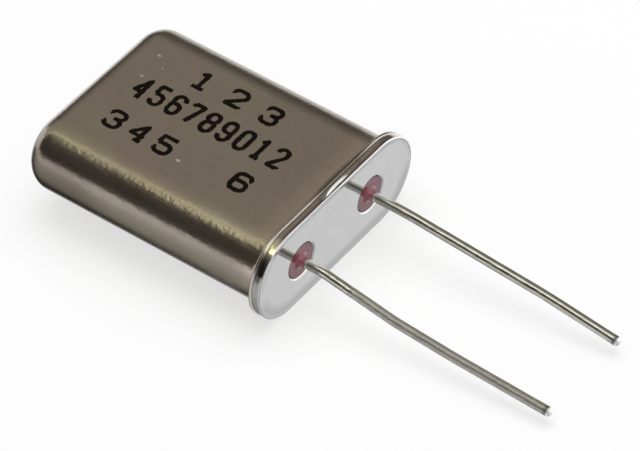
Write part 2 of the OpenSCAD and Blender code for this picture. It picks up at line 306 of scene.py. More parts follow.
def sealing_glass():
    """Glass stained with iron and manganese: maroon, nearly opaque and fire polished, with painted shade
    in a thin darker ring where it meets the metal."""
    material, tree = new_material("sealing_glass")
    place = add(tree, "ShaderNodeTexCoord", give="Object")
    cloud = add(tree, "ShaderNodeTexNoise", {"Vector": place, "Scale": 1 / (0.35 * mm), "Detail": 4.0})
    tint = add(tree, "ShaderNodeMix", {"Factor": cloud, "A": linear("#8a4150"), "B": linear("#b66472")},
               data_type="RGBA")
    # Painted shade: a darker ring round the edge of each seal
    either = add(tree, "ShaderNodeVectorMath", {0: place}, operation="ABSOLUTE")
    out = reach_from(tree, either, (0, seal_y, 0), (1, seal_r, seal_r))
    ring = add(tree, "ShaderNodeMapRange", {"Value": out, "From Min": 0.88, "From Max": 0.99})
    tint = add(tree, "ShaderNodeMix", {"Factor": ring, "A": tint, "B": linear("#5d3b44")}, data_type="RGBA")
    bump = add(tree, "ShaderNodeBump", {"Height": cloud, "Strength": 0.4, "Distance": 0.01 * mm})
    glass = add(tree, "ShaderNodeBsdfPrincipled",
                {"Base Color": tint, "Roughness": 0.12, "IOR": 1.52, "Coat Weight": 0.2,
                 "Coat Roughness": 0.04, "Normal": bump})
    add(tree, "ShaderNodeOutputMaterial", {"Surface": glass})
    return material


maroon = sealing_glass()
for side, name in ((-1, "left"), (1, "right")):
    bead = bmesh.new()
    profile = [(lead_r, base_t), (seal_r, base_t), (seal_r, seal_recess)]
    corner = (lead_r + meniscus, seal_recess - meniscus)
    profile += [(lead_r + meniscus + hairline, seal_recess)] + arc(corner, meniscus, 90, 180)
    skin(bead, [hole_ring(out, height, side * seal_y) for out, height in profile + profile[:1]])
    bmesh.ops.remove_doubles(bead, verts=bead.verts, dist=hairline / 100)
    seal = finished(bead, "glass_seal_fused_" + name)
    seal.data.materials.append(maroon)
    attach(seal, "root")
    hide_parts("glass_seal_" + name)

# ---------------------------------------------------------------------------------------------
# Wire leads: iron-nickel wire that the glass can hold, headed like a nail inside the can and
# dipped in solder after sealing. Each was bent a little in handling, and the left one rubbed.
lead_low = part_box("lead_right")[0]
head_r = 0.425 * mm
head_t = 0.15 * mm
# Each wire: its side, its straight root, its turns as degrees down, radius and straight run, and
# how far out its solder is rubbed dull from, in millimetres
WIRES = {
    "left": (-1, 0.8, [(10.2, 3, 3.45), (-5.4, 3, 2.45), (-2.1, 18, 4.55)], 2.6),
    "right": (1, 1.2, [(4.7, 18, 5.9), (3.3, 18, 3.2)], 12.4),
}


def wire_path(y, root, steps, gap=0.1 * mm):
    """Points along a wire's axis, from the seating face to its tip."""
    runs = [(root * mm, 0)]
    for degrees, radius, straight in steps:
        turn = math.radians(degrees)
        runs += [(abs(turn) * radius * mm, turn), (straight * mm, 0)]
    points = [Vector((0, y, 0))]
    heading = 0.0
    for length, turn in runs:
        count = max(1, round(length / gap))
        for i in range(count):
            heading += turn / count
            points.append(points[-1] + Vector((math.cos(heading), 0, -math.sin(heading))) * length / count)
    return points


def path_object(name, lines):
    """A curve object of straight-sided lines, each a list of points and their radii."""
    data = bpy.data.curves.new(name, "CURVE")
    data.dimensions = "3D"
    for points, radii in lines:
        line = data.splines.new("POLY")
        line.points.add(len(points) - 1)
        for knot, point, radius in zip(line.points, points, radii):
            knot.co = (*point, 1)
            knot.radius = radius
    piece = bpy.data.objects.new(name, data)
    bpy.context.scene.collection.objects.link(piece)
    return piece


def new_tree(name, **inputs):
    """A geometry tree with its named inputs, and a way to reach each of them."""
    tree = bpy.data.node_groups.new(name, "GeometryNodeTree")
    tree.interface.new_socket("Geometry", in_out="INPUT", socket_type="NodeSocketGeometry")
    tree.interface.new_socket("Geometry", in_out="OUTPUT", socket_type="NodeSocketGeometry")
    for label, kind in inputs.items():
        tree.interface.new_socket(label, in_out="INPUT", socket_type="NodeSocket" + kind)
    return tree, tree.nodes.new("NodeGroupInput").outputs


def close_tree(tree, geometry, material):
    """Ends a tree with its instances made real and its material set."""
    real = add(tree, "GeometryNodeRealizeInstances", {"Geometry": geometry})
    done = add(tree, "GeometryNodeSetMaterial", {"Geometry": real, "Material": material})
    add(tree, "NodeGroupOutput", {"Geometry": done})


def made_by(tree, source, name, **values):
    """The plain mesh object that a tree makes from a source object, which is then removed."""
    modifier = source.modifiers.new("make", "NODES")
    modifier.node_group = tree
    for socket in tree.interface.items_tree:
        if socket.name in values:
            modifier[socket.identifier] = values[socket.name]
    bpy.context.view_layer.update()
    made = source.evaluated_get(bpy.context.evaluated_depsgraph_get())
    data = bpy.data.meshes.new_from_object(made)
    data.name = name
    data.set_sharp_from_angle(angle=crease)
    piece = bpy.data.objects.new(name, data)
    bpy.context.scene.collection.objects.link(piece)
    bpy.data.objects.remove(source)
    return piece


def drawn_wire_tree():
    """A wire along a path, with its solder a little uneven."""
    tree, given = new_tree("drawn_wire", Radius="Float", Unevenness="Float", Lump="Float",
                           Around="Int", Finish="Material")
    place = add(tree, "GeometryNodeInputPosition")
    lumps = add(tree, "ShaderNodeTexNoise", {"Vector": place, "Scale": given["Lump"], "Detail": 2.0})
    loss = add(tree, "ShaderNodeMath", {0: lumps, 1: given["Unevenness"]}, operation="MULTIPLY")
    left = add(tree, "ShaderNodeMath", {0: 1.0, 1: loss}, operation="SUBTRACT")
    taper = add(tree, "GeometryNodeInputRadius")
    scale = add(tree, "ShaderNodeMath", {0: taper, 1: left}, operation="MULTIPLY")
    ring = add(tree, "GeometryNodeCurvePrimitiveCircle",
               {"Resolution": given["Around"], "Radius": given["Radius"]})
    wire = add(tree, "GeometryNodeCurveToMesh",
               {"Curve": given["Geometry"], "Profile Curve": ring, "Scale": scale, "Fill Caps": True})
    smooth = add(tree, "GeometryNodeSetShadeSmooth", {"Geometry": wire})
    close_tree(tree, smooth, given["Finish"])
    return tree


def tinned_wire(name, rubbed, tip):
    """Solder on iron-nickel wire: greyish, bright where it flowed and drawn lines show through, and
    dull from where handling has rubbed it. Just short of the tip it is darkened with painted shade."""
    material, tree = new_material("tinned_wire_" + name)
    place = add(tree, "ShaderNodeTexCoord", give="Object")
    stretch = (1 / (1.6 * mm), 1 / (0.06 * mm), 1 / (0.06 * mm))
    along = add(tree, "ShaderNodeMapping", {"Vector": place, "Scale": stretch})
    lines = add(tree, "ShaderNodeTexNoise", {"Vector": along, "Scale": 1.0, "Detail": 4.0})
    lumps = add(tree, "ShaderNodeTexNoise", {"Vector": place, "Scale": 1 / (0.4 * mm), "Detail": 3.0})
    axis = add(tree, "ShaderNodeSeparateXYZ", {"Vector": place}, give="X")
    ragged = add(tree, "ShaderNodeMath", {0: lumps, 1: 1.6 * mm, 2: axis}, operation="MULTIPLY_ADD")
    dull = add(tree, "ShaderNodeMapRange",
               {"Value": ragged, "From Min": (rubbed + 0.8) * mm, "From Max": (rubbed + 1.1) * mm})
    scuffs = add(tree, "ShaderNodeMath", {0: dull, 1: 6.0, 2: 1.0}, operation="MULTIPLY_ADD")
    swell = add(tree, "ShaderNodeMath", {0: lumps, 1: 0.5}, operation="SUBTRACT")
    scuffs = add(tree, "ShaderNodeMath", {0: swell, 1: scuffs}, operation="MULTIPLY")
    height = add(tree, "ShaderNodeMath", {0: lines, 1: scuffs}, operation="ADD")
    bump = add(tree, "ShaderNodeBump", {"Height": height, "Strength": 0.8, "Distance": 0.01 * mm})
    tint = add(tree, "ShaderNodeMix", {"Factor": lumps, "A": linear("#b2b0aa"), "B": linear("#cfcdc7")},
               data_type="RGBA")
    tint = add(tree, "ShaderNodeMix", {"Factor": dull, "A": tint, "B": linear("#b8b6b2")}, data_type="RGBA")
    # Painted shade just short of the cut tip
    painted_tip_shade = reach_from(tree, place, tip, Vector((0.45, 0.45, 0.45)) * mm)
    painted_tip_shade = add(tree, "ShaderNodeMapRange",
                {"Value": painted_tip_shade, "From Min": 0.6, "From Max": 1.0, "To Min": 0.8, "To Max": 0.0})
    tint = add(tree, "ShaderNodeMix", {"Factor": painted_tip_shade, "A": tint, "B": linear("#5f5a5e")}, data_type="RGBA")
    rough = add(tree, "ShaderNodeMapRange", {"Value": lines, "To Min": 0.08, "To Max": 0.2})
    rough = add(tree, "ShaderNodeMath", {0: dull, 1: 0.33, 2: rough}, operation="MULTIPLY_ADD")
    metal = add(tree, "ShaderNodeBsdfPrincipled",
                {"Base Color": tint, "Metallic": 1.0, "Roughness": rough, "Normal": bump})
    add(tree, "ShaderNodeOutputMaterial", {"Surface": metal})
    return material


def sheared_end():
    """Iron-nickel that the cutters have just laid bare: white and bright, with fine shear lines."""
    material, tree = new_material("sheared_iron_nickel")
    place = add(tree, "ShaderNodeTexCoord", give="Object")
    across = add(tree, "ShaderNodeMapping",
                 {"Vector": place, "Scale": (1 / (0.3 * mm), 1 / (0.3 * mm), 1 / (0.03 * mm))})
    shear = add(tree, "ShaderNodeTexNoise", {"Vector": across, "Scale": 1.0, "Detail": 2.0})
    bump = add(tree, "ShaderNodeBump", {"Height": shear, "Strength": 0.4, "Distance": 0.004 * mm})
    rough = add(tree, "ShaderNodeMapRange", {"Value": shear, "To Min": 0.45, "To Max": 0.6})
    metal = add(tree, "ShaderNodeBsdfPrincipled",
                {"Base Color": linear("#f4f6fa"), "Metallic": 1.0, "Roughness": rough, "Normal": bump})
    add(tree, "ShaderNodeOutputMaterial", {"Surface": metal})
    return material


wire_tree = drawn_wire_tree()
fresh_cut = sheared_end()
tip_round = 0.16 * mm
cut_depth = tip_round * 0.85
for name, (side, root, steps, rubbed) in WIRES.items():
    path = wire_path(side * seal_y, root, steps)
    tip, heading = path[-1], (path[-1] - path[-2]).normalized()
    # The nail head, a ring on each side of its step, then the wire, then rings round the cut tip
    inner = [Vector((lead_low.x + out, side * seal_y, 0)) for out in (0, head_t, head_t + hairline)]
    body = inner + [p for p in path if (p - tip).length > tip_round]
    turns = [math.radians(a) for a in (0, 23, 46, 68, 90)]
    end = [tip - heading * tip_round * (1 - math.sin(a)) for a in turns]
    radii = [head_r / lead_r] * 2 + [1.0] * (len(body) - 2)
    radii += [1 - tip_round / lead_r * (1 - math.cos(a)) for a in turns]
    lead = made_by(wire_tree, path_object("wire_path", [(body + end, radii)]), "lead_tinned_" + name,
                   Radius=lead_r, Unevenness=0.035, Lump=1 / (0.7 * mm), Around=40,
                   Finish=tinned_wire(name, rubbed, tip))
    lead.data.materials.append(fresh_cut)
    for face in lead.data.polygons:
        if (face.center - tip).dot(heading) > -cut_depth:
            face.material_index = 1
    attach(lead, "root")
    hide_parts("lead_" + name)

# ---------------------------------------------------------------------------------------------
# Mounting springs: slotted strips of rolled nickel silver, welded flat to the wires' nail heads. Each
# holds the blank's edge in its slot and carries the current to it.


def rolled_strip():
    """Rolled nickel silver: pale, faintly yellow, with fine lines along the strip."""
    material, tree = new_material("rolled_nickel_silver")
    place = add(tree, "ShaderNodeTexCoord", give="Object")
    stretch = (1 / (2 * mm), 1 / (0.05 * mm), 1 / (0.05 * mm))
    along = add(tree, "ShaderNodeMapping", {"Vector": place, "Scale": stretch})
    lines = add(tree, "ShaderNodeTexNoise", {"Vector": along, "Scale": 1.0, "Detail": 3.0})
    bump = add(tree, "ShaderNodeBump", {"Height": lines, "Strength": 0.5, "Distance": 0.002 * mm})
    rough = add(tree, "ShaderNodeMapRange", {"Value": lines, "To Min": 0.2, "To Max": 0.35})
    metal = add(tree, "ShaderNodeBsdfPrincipled",
                {"Base Color": linear("#cdc6b4"), "Metallic": 1.0, "Roughness": rough, "Normal": bump})
    add(tree, "ShaderNodeOutputMaterial", {"Surface": metal})
    return material


def finish_node(name, material):
    """Gives a CAD node that keeps its own shape its finish."""
    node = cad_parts[name]
    node.data.materials.clear()
    node.data.materials.append(material)


strip = rolled_strip()
finish_node("mounting_spring_left", strip)
finish_node("mounting_spring_right", strip)

# ---------------------------------------------------------------------------------------------
# Quartz blank and its electrodes: a lapped and polished disc with a silver film evaporated on
# each face, whose tab runs to the spring on its side.


def lapped_quartz():
    """Polished quartz: clear, with the faint haze that fine lapping leaves."""
    material, tree = new_material("lapped_quartz")
    place = add(tree, "ShaderNodeTexCoord", give="Object")
    haze = add(tree, "ShaderNodeTexNoise", {"Vector": place, "Scale": 1 / (0.2 * mm), "Detail": 4.0})
    rough = add(tree, "ShaderNodeMapRange", {"Value": haze, "To Min": 0.03, "To Max": 0.2})
    quartz = add(tree, "ShaderNodeBsdfPrincipled",
                 {"Base Color": linear("#f1f4f6"), "Roughness": rough, "IOR": 1.54,
                  "Transmission Weight": 0.9})
    add(tree, "ShaderNodeOutputMaterial", {"Surface": quartz})
    return material


def evaporated_silver():
    """A silver film a fraction of a micron thick: as smooth as the quartz that carries it."""
    material, tree = new_material("evaporated_silver")
    place = add(tree, "ShaderNodeTexCoord", give="Object")
    haze = add(tree, "ShaderNodeTexNoise", {"Vector": place, "Scale": 1 / (0.3 * mm), "Detail": 4.0})
    rough = add(tree, "ShaderNodeMapRange", {"Value": haze, "To Min": 0.12, "To Max": 0.3})
    metal = add(tree, "ShaderNodeBsdfPrincipled",
                {"Base Color": linear("#e9e7e1"), "Metallic": 1.0, "Roughness": rough})
    add(tree, "ShaderNodeOutputMaterial", {"Surface": metal})
    return material


finish_node("quartz_blank", lapped_quartz())
film = evaporated_silver()
finish_node("electrode_top", film)
finish_node("electrode_bottom", film)

# ---------------------------------------------------------------------------------------------
# Adhesive: a dab of silver-filled epoxy, put on wet and oven cured. It bonds each electrode's tab to
# its spring and conducts between them.


def silver_epoxy():
    """Silver flake in cured epoxy: dull grey and grainy, with a weak metal glint."""
    material, tree = new_material("silver_filled_epoxy")
    place = add(tree, "ShaderNodeTexCoord", give="Object")
    flake = add(tree, "ShaderNodeTexNoise", {"Vector": place, "Scale": 1 / (0.03 * mm), "Detail": 4.0})
    bump = add(tree, "ShaderNodeBump", {"Height": flake, "Strength": 0.6, "Distance": 0.006 * mm})
    tint = add(tree, "ShaderNodeMix", {"Factor": flake, "A": linear("#77777a"), "B": linear("#a5a5a4")},
               data_type="RGBA")
    epoxy = add(tree, "ShaderNodeBsdfPrincipled",
                {"Base Color": tint, "Metallic": 0.5, "Roughness": 0.55, "Normal": bump})
    add(tree, "ShaderNodeOutputMaterial", {"Surface": epoxy})
    return material


epoxy = silver_epoxy()
finish_node("adhesive_left", epoxy)
finish_node("adhesive_right", epoxy)

# ---------------------------------------------------------------------------------------------
# Can: deep drawn from nickel silver strip in one piece, with a turned-out flange that is
# resistance welded to the base's rim. Drawing leaves it satin and grainy, scored along its length.
ink_low, ink_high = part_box("ink_marking")
can_h = -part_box("can")[0].x
can_r = ink_low.z
can_wall = 0.25 * mm
can_end = 1.1 * mm
can_flange_t = 0.2 * mm
flange_front = 0.115 * mm
flange_back = 0.08 * mm
neck = 0.28 * mm
mouth = 0.18 * mm
flange_top = rim_t + can_flange_t
inner_r = can_r - can_wall


def drawn_can_tree():
    """Sweeps a section, drawn out from the can's wall, round an obround."""
    tree, given = new_tree("drawn_can", EndRadius="Float", HalfStraight="Float", ArcPoints="Int",
                           RoundPoints="Int", Join="Float", Finish="Material")
    short = add(tree, "ShaderNodeMath", {0: given["EndRadius"], 1: 2.0}, operation="MULTIPLY")
    long = add(tree, "ShaderNodeMath", {0: given["HalfStraight"], 1: 2.0, 2: short},
               operation="MULTIPLY_ADD")
    box = add(tree, "GeometryNodeCurvePrimitiveQuadrilateral", {"Width": short, "Height": long})
    outline = add(tree, "GeometryNodeFilletCurve",
                  {"Curve": box, "Radius": given["EndRadius"], "Limit Radius": True,
                   "Count": given["ArcPoints"]}, mode="POLY")
    even = add(tree, "GeometryNodeResampleCurve", {"Curve": outline, "Count": given["RoundPoints"]})
    swept = add(tree, "GeometryNodeCurveToMesh", {"Curve": even, "Profile Curve": given["Geometry"]})
    joined = add(tree, "GeometryNodeMergeByDistance", {"Geometry": swept, "Distance": given["Join"]})
    laid = add(tree, "GeometryNodeTransform",
               {"Geometry": joined, "Rotation": Euler((0, math.radians(-90), 0))})
    smooth = add(tree, "GeometryNodeSetShadeSmooth", {"Geometry": laid})
    close_tree(tree, smooth, given["Finish"])
    return tree


def drawn_nickel_silver():
    """Drawn nickel silver: satin grey with a warm cast, an orange-peel grain, score marks along the
    draw and four bright flecks where it has been knocked, painted bright as glints. It is paler by the
    flange, which the weld's electrode has pressed smooth. Painted shade darkens the flange's top
    behind the knocks and the near side towards the closed end."""
    material, tree = new_material("drawn_nickel_silver")
    place = add(tree, "ShaderNodeTexCoord", give="Object")
    # Score marks a tenth of a millimetre wide and a few long, drawn a little coarser than real
    stretch = (1 / (3 * mm), 1 / (0.1 * mm), 1 / (0.1 * mm))
    draw = add(tree, "ShaderNodeMapping", {"Vector": place, "Scale": stretch})
    scores = add(tree, "ShaderNodeTexNoise",
                 {"Vector": draw, "Scale": 1.0, "Detail": 5.0, "Roughness": 0.6})
    # Orange peel: a fine grain on a broader swell
    grain = add(tree, "ShaderNodeTexNoise", {"Vector": place, "Scale": 1 / (0.18 * mm), "Detail": 3.0})
    height = add(tree, "ShaderNodeMath", {0: scores, 1: 0.3, 2: grain}, operation="MULTIPLY_ADD")
    swell = add(tree, "ShaderNodeTexNoise", {"Vector": place, "Scale": 1 / (0.6 * mm), "Detail": 2.0})
    height = add(tree, "ShaderNodeMath", {0: swell, 1: 1.6, 2: height}, operation="MULTIPLY_ADD")
    length = add(tree, "ShaderNodeSeparateXYZ", {"Vector": place}, give="X")
    flange = add(tree, "ShaderNodeMapRange",
                 {"Value": length, "From Min": -0.64 * mm, "From Max": -0.54 * mm, "To Max": 0.8})
    relief = add(tree, "ShaderNodeMath", {0: flange, 1: -1.0, 2: 1.0}, operation="MULTIPLY_ADD")
    bump = add(tree, "ShaderNodeBump", {"Height": height, "Strength": relief, "Distance": 0.007 * mm})
    rough = add(tree, "ShaderNodeMapRange",
                {"Value": scores, "From Min": 0.3, "From Max": 0.7, "To Min": 0.17, "To Max": 0.26})
    stain = add(tree, "ShaderNodeTexNoise", {"Vector": place, "Scale": 1 / (2.5 * mm), "Detail": 4.0})
    tint = add(tree, "ShaderNodeMix", {"Factor": stain, "A": linear("#9d948c"), "B": linear("#aaa598")},
               data_type="RGBA")
    pale = add(tree, "ShaderNodeMapRange", {"Value": length, "From Min": -1.9 * mm, "From Max": -0.95 * mm})
    tint = add(tree, "ShaderNodeMix", {"Factor": pale, "A": tint, "B": linear("#b5ac9f")}, data_type="RGBA")
    # Four knock marks, painted bright as glints
    for x, y, size in ((-11.26, 2.4, 0.13), (-11.1, 0.95, 0.11), (-10.65, 1.84, 0.07), (-6.66, -2.23, 0.16)):
        reach = reach_from(tree, place, Vector((x * mm, y * mm, can_r)), Vector((1, 0.6, 1)) * size * mm)
        painted_glint = add(tree, "ShaderNodeMapRange",
                    {"Value": reach, "From Min": 0.4, "From Max": 1.0, "To Min": 1.0, "To Max": 0.0})
        tint = add(tree, "ShaderNodeMix", {"Factor": painted_glint, "A": tint, "B": linear("#eeeae0")},
                   data_type="RGBA")
    tint = add(tree, "ShaderNodeMix", {"Factor": flange, "A": tint, "B": linear("#c8c4be")},
               data_type="RGBA")
    # Painted shade on the flange's top behind the knocks, and on the near side towards the closed end
    for at, size, share, colour in (((-0.55, 0.9, 2.0), (0.42, 2.5, 0.8), 0.85, "#6b6158"),
                                    ((-12.3, -5.0, 0.1), (4.2, 1.2, 1.6), 0.55, "#7d746b")):
        mark = reach_from(tree, place, Vector(at) * mm, Vector(size) * mm)
        mark = add(tree, "ShaderNodeMapRange",
                   {"Value": mark, "From Min": 0.6, "From Max": 1.0, "To Min": share, "To Max": 0.0})
        tint = add(tree, "ShaderNodeMix", {"Factor": mark, "A": tint, "B": linear(colour)}, data_type="RGBA")
    metal = add(tree, "ShaderNodeBsdfPrincipled",
                {"Base Color": tint, "Metallic": 1.0, "Roughness": rough, "Normal": bump})
    add(tree, "ShaderNodeOutputMaterial", {"Surface": metal})
    return material


wall_rings = 12
wall_run = flange_top + neck - can_h + can_end
wall = [(can_r, can_h - can_end + wall_run * i / wall_rings) for i in range(1, wall_rings)]
can_section = [(0, can_h), ((can_r - can_end) / 2, can_h), (can_r - can_end - hairline, can_h)]
can_section += arc((can_r - can_end, can_h - can_end), can_end, 90, 0, 14) + wall
can_section += arc((can_r + neck, flange_top + neck), neck, 180, 270)
can_section += arc((flange_r - flange_back, flange_top - flange_back), flange_back, 90, 0)
can_section += arc((flange_r - flange_front, rim_t + flange_front), flange_front, 0, -90)
can_section += arc((inner_r + mouth, rim_t + mouth), mouth, 270, 180)
can_section += arc((inner_r - can_end + can_wall, can_h - can_end), can_end - can_wall, 0, 90)
can_section += [(0, can_h - can_wall)]
source = path_object("can_section", [([(out - can_r, -height, 0) for out, height in can_section],
                                      [1.0] * len(can_section))])
can = made_by(drawn_can_tree(), source, "can_drawn", EndRadius=can_r, HalfStraight=straight_half,
              ArcPoints=40, RoundPoints=300, Join=hairline / 100, Finish=drawn_nickel_silver())
press_knocks(can.data)
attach(can, "root")
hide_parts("can")

# ---------------------------------------------------------------------------------------------
# Marking: black ink stamped on the broad face with a rubber die, then baked. It has spread a
# little past the die's edges. It carries plain numerals.
ink_t = ink_high.z - ink_low.z
ink_stroke = 0.19 * mm
ink_spread = 0.04 * mm
# Strokes of each numeral on a grid one wide and two high, with square corners turned in an arc
NUMERALS = [
    [[(0, 1), (0, 2), (1, 2), (1, 0), (0, 0), (0, 1)]],
    [[(0.1, 1.6), (0.5, 2), (0.5, 0)], [(0.1, 0), (0.9, 0)]],
    [[(0, 1.55), (0, 2), (1, 2), (1, 1.3), (0, 0), (1, 0)], [(1, 0), (1, 0.2)]],
    [[(0, 1.55), (0, 2), (1, 2), (1, 1.05), (0.4, 1.05)],
     [(0.4, 1.05), (1, 1.05), (1, 0), (0, 0), (0, 0.45)]],
    [[(0.75, 0), (0.75, 2), (0, 0.6), (1, 0.6)], [(0.5, 0), (1, 0)]],
    [[(1, 2), (0.04, 2), (0, 1.15)], [(0, 1.15), (1, 1.15), (1, 0), (0, 0), (0, 0.45)]],
    [[(1, 1.55), (1, 2), (0, 2), (0, 0), (1, 0), (1, 1.1), (0, 1.1)]],
    [[(0, 1.7), (0, 2)], [(0, 2), (1, 2), (0.35, 0)]],
    [[(0.5, 1.05), (0, 1.05), (0, 2), (1, 2), (1, 1.05), (0, 1.05), (0, 0), (1, 0), (1, 1.05)]],
    [[(0, 0.45), (0, 0), (1, 0), (1, 2), (0, 2), (0, 0.9), (1, 0.9)]],
]
# Lines of the marking: height and foot of the first numeral, step, height, width, numerals
LINES = [
    (8.74, 1.68, 1.82, 1.16, 0.9, (1, 2, 3)),
    (10.6, -0.28, 0.91, 1.34, 0.68, (4, 5, 6, 7, 8, 9, 0, 1, 2)),
    (10.35, -2.42, 1.34, 1.16, 0.9, (3, 4, 5)),
    (3.75, -2.28, 1.34, 1.16, 0.9, (6,)),
]


def rounded(path, radius, steps=8):
    """A stroke's path with each square corner turned in a quarter arc."""
    points = [path[0]]
    for before, here, after in zip(path, path[1:], path[2:]):
        back, ahead = (before - here).normalized(), (after - here).normalized()
        if abs(back.dot(ahead)) > 0.01:
            points.append(here)
            continue
        for i in range(steps + 1):
            a = math.radians(90 * i / steps)
            points.append(here + radius * (back * (1 - math.sin(a)) + ahead * (1 - math.cos(a))))
    return points + [path[-1]]


def stamped_ink_tree():
    """Ink along the strokes: a low crowned bead whose edge wanders."""
    tree, given = new_tree("stamped_ink", Stroke="Float", Thick="Float", Gap="Float", Ragged="Float",
                           Finish="Material")
    fine = add(tree, "GeometryNodeResampleCurve", {"Curve": given["Geometry"], "Length": given["Gap"]},
               mode="LENGTH")
    place = add(tree, "GeometryNodeInputPosition")
    edge = add(tree, "ShaderNodeTexNoise", {"Vector": place, "Scale": given["Ragged"], "Detail": 3.0})
    swing = add(tree, "ShaderNodeMapRange",
                {"Value": edge, "From Min": 0.3, "From Max": 0.7, "To Min": 0.76, "To Max": 1.2})
    bead = add(tree, "GeometryNodeCurvePrimitiveCircle", {"Resolution": 10, "Radius": 1.0})
    half = add(tree, "ShaderNodeMath", {0: given["Stroke"], 1: 0.5}, operation="MULTIPLY")
    flat = add(tree, "ShaderNodeCombineXYZ", {"X": half, "Y": given["Thick"], "Z": 1.0})
    low = add(tree, "GeometryNodeTransform", {"Geometry": bead, "Scale": flat})
    ink = add(tree, "GeometryNodeCurveToMesh",
              {"Curve": fine, "Profile Curve": low, "Scale": swing, "Fill Caps": True})
    smooth = add(tree, "GeometryNodeSetShadeSmooth", {"Geometry": ink})
    close_tree(tree, smooth, given["Finish"])
    return tree


def baked_ink():
    """Stamping ink on metal: brown-black and matt, thinner in places where the die lifted it."""
    material, tree = new_material("baked_stamping_ink")
    place = add(tree, "ShaderNodeTexCoord", give="Object")
    cloud = add(tree, "ShaderNodeTexNoise", {"Vector": place, "Scale": 1 / (0.25 * mm), "Detail": 4.0})
    tint = add(tree, "ShaderNodeMix", {"Factor": cloud, "A": linear("#060302"), "B": linear("#18110d")},
               data_type="RGBA")
    bump = add(tree, "ShaderNodeBump", {"Height": cloud, "Strength": 0.5, "Distance": 0.004 * mm})
    ink = add(tree, "ShaderNodeBsdfPrincipled",
              {"Base Color": tint, "Roughness": 0.65, "Specular IOR Level": 0.06, "Normal": bump})
    add(tree, "ShaderNodeOutputMaterial", {"Surface": ink})
    return material


strokes = []
for start, foot, step, height, width, values in LINES:
    column, row = (width * mm - ink_stroke), (height * mm - ink_stroke) / 2
    for i, value in enumerate(values):
        origin = Vector((i * step - start, foot)) * mm + Vector((-column / 2, ink_stroke / 2))
        for path in NUMERALS[value]:
            grid = [origin + Vector((x * column, y * row)) for x, y in path]
            line = rounded(grid, min(column, row) / 2)
            strokes.append(([(*p, ink_low.z) for p in line], [1.0] * len(line)))
ink = made_by(stamped_ink_tree(), path_object("ink_strokes", strokes), "ink_stamped",
              Stroke=ink_stroke + ink_spread, Thick=ink_t, Gap=0.04 * mm, Ragged=1 / (0.14 * mm),
              Finish=baked_ink())
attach(ink, "root")
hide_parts("ink_marking")

# ---------------------------------------------------------------------------------------------
# Set: a plain white floor that the unit lies on, at the slope that its flange gives it, soft
# overhead light, and graded cards that only the metal's reflections see.
rest_slope = math.atan2((can_r - flange_r), can_h - can_end - rim_t)


def seen_white(tree, surface, camera, shine):
    """Adds light of its own to a surface where the camera or a reflection sees it."""
    path = tree.nodes.new("ShaderNodeLightPath").outputs
    shiny = add(tree, "ShaderNodeMath", {0: path["Is Glossy Ray"], 1: path["Is Transmission Ray"]},
                operation="MAXIMUM")
    shiny = add(tree, "ShaderNodeMath", {0: shiny, 1: shine}, operation="MULTIPLY")
    level = add(tree, "ShaderNodeMath", {0: path["Is Camera Ray"], 1: camera, 2: shiny},
                operation="MULTIPLY_ADD")
    glow = add(tree, "ShaderNodeEmission", {"Color": (1, 1, 1, 1), "Strength": level})
    return add(tree, "ShaderNodeAddShader", {0: surface, 1: glow})


def white_table():
    """White paper: matt, with the unit's soft shadow on it."""
    material, tree = new_material("white_paper")
    paper = add(tree, "ShaderNodeBsdfDiffuse", {"Color": (0.4, 0.4, 0.4, 1)})
    add(tree, "ShaderNodeOutputMaterial", {"Surface": seen_white(tree, paper, 0.62, 0.0)})
    return material


def card(name, ends, rows, reach=0.45):
    """A glowing card curved round the X axis that only reflections see. Each end is its x and its
    share of the rows' changes. Each row is its angle from overhead towards the near side and its
    light, grey or coloured, and where it changes, the degrees it leans and the light it gains."""
    bend = bmesh.new()
    glow = bend.verts.layers.float_color.new("glow")
    lines = []
    for angle, light, *change in rows:
        colour = light if isinstance(light, tuple) else (light,) * 3
        lean, gain = change or (0, 0)
        line = []
        for x, share in ends:
            a = math.radians(angle + lean * share)
            line.append(bend.verts.new((x, -reach * math.sin(a), reach * math.cos(a))))
            line[-1][glow] = (*[c * (1 + gain * share) for c in colour], 1)
        lines.append(line)
    for low, high in zip(lines, lines[1:]):
        for i in range(len(ends) - 1):
            bend.faces.new((low[i], low[i + 1], high[i + 1], high[i]))
    data = bpy.data.meshes.new(name)
    bend.to_mesh(data)
    bend.free()
    piece = bpy.data.objects.new(name, data)
    bpy.context.scene.collection.objects.link(piece)
    material, tree = new_material(name)
    tint = add(tree, "ShaderNodeAttribute", give="Color", attribute_name="glow")
    lit = add(tree, "ShaderNodeEmission", {"Color": tint, "Strength": 1.0})
    add(tree, "ShaderNodeOutputMaterial", {"Surface": lit})
    data.materials.append(material)
    piece.visible_camera = False
    piece.visible_diffuse = False
    piece.visible_shadow = False
    piece.visible_transmission = False


bpy.ops.mesh.primitive_plane_add(size=4, location=(0, 0, 0))
floor = bpy.context.object
floor.name = "floor"
floor.rotation_euler = (0, rest_slope, 0)
floor.location = (-rim_t / 2, 0, -flange_r)
floor.data.materials.append(white_table())
floor.visible_glossy = False

